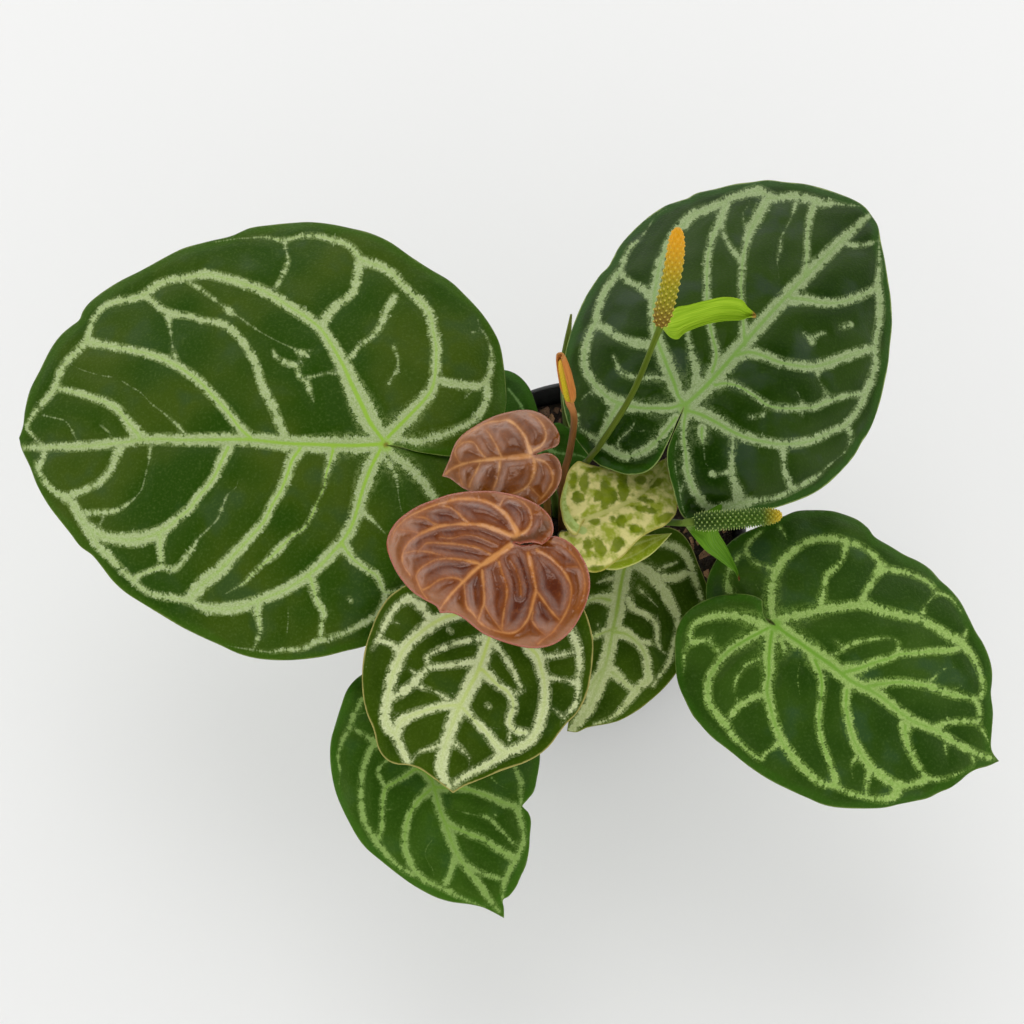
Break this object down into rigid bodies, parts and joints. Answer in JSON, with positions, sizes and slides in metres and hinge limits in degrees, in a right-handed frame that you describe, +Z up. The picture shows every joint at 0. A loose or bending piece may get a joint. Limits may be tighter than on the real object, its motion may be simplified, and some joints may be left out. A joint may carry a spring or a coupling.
{
  "type": "potted anthurium",
  "caption": "Potted anthurium: a plastic nursery pot of mix, from which heart-shaped veined leaves and thin flowers on long stalks spread wider than the pot.",
  "frame": {"origin": "middle of the pot's base, on the surface that it stands on", "axes": "+Z up; -Y toward the plant's front, from where the picture looks down; +X to the right seen from there"},
  "size_m": [0.4359, 0.3275, 0.3377],
  "materials": {
    "pot": "satin",
    "mix": "matte",
    "crown": "matte",
    "stalk_green": "satin",
    "stalk_bronze": "satin",
    "leaf_green": "satin",
    "leaf_pale": "satin",
    "leaf_bronze": "satin",
    "spathe": "satin",
    "spathe_bud": "satin",
    "spadix": "satin"
  },
  "bodies": {
    "root": {"pot": "pot", "potting_mix": "mix", "crown": "crown", "stalk_left": "stalk_green", "blade_left": "leaf_green", "stalk_upper_right": "stalk_green", "blade_upper_right": "leaf_green", "stalk_right": "stalk_green", "blade_right": "leaf_green", "stalk_front": "stalk_green", "blade_front": "leaf_green", "stalk_front_low": "stalk_green", "blade_front_low": "leaf_green", "stalk_inner_right": "stalk_green", "blade_inner_right": "leaf_green", "stalk_back": "stalk_green", "blade_back": "leaf_green", "stalk_pale": "stalk_green", "blade_pale": "leaf_pale", "stalk_pale_under": "stalk_green", "blade_pale_under": "leaf_pale", "stalk_bronze_small": "stalk_bronze", "blade_bronze_small": "leaf_bronze", "stalk_bronze": "stalk_bronze", "blade_bronze": "leaf_bronze", "rolled_leaf": "stalk_green", "flower_stalk_1": "stalk_green", "spathe_1": "spathe", "spadix_1": "spadix", "flower_stalk_2": "stalk_bronze", "spathe_2": "spathe_bud", "spadix_2": "spadix", "flower_stalk_3": "stalk_green", "spathe_3": "spathe", "spadix_3": "spadix"}
  },
  "joints": []
}
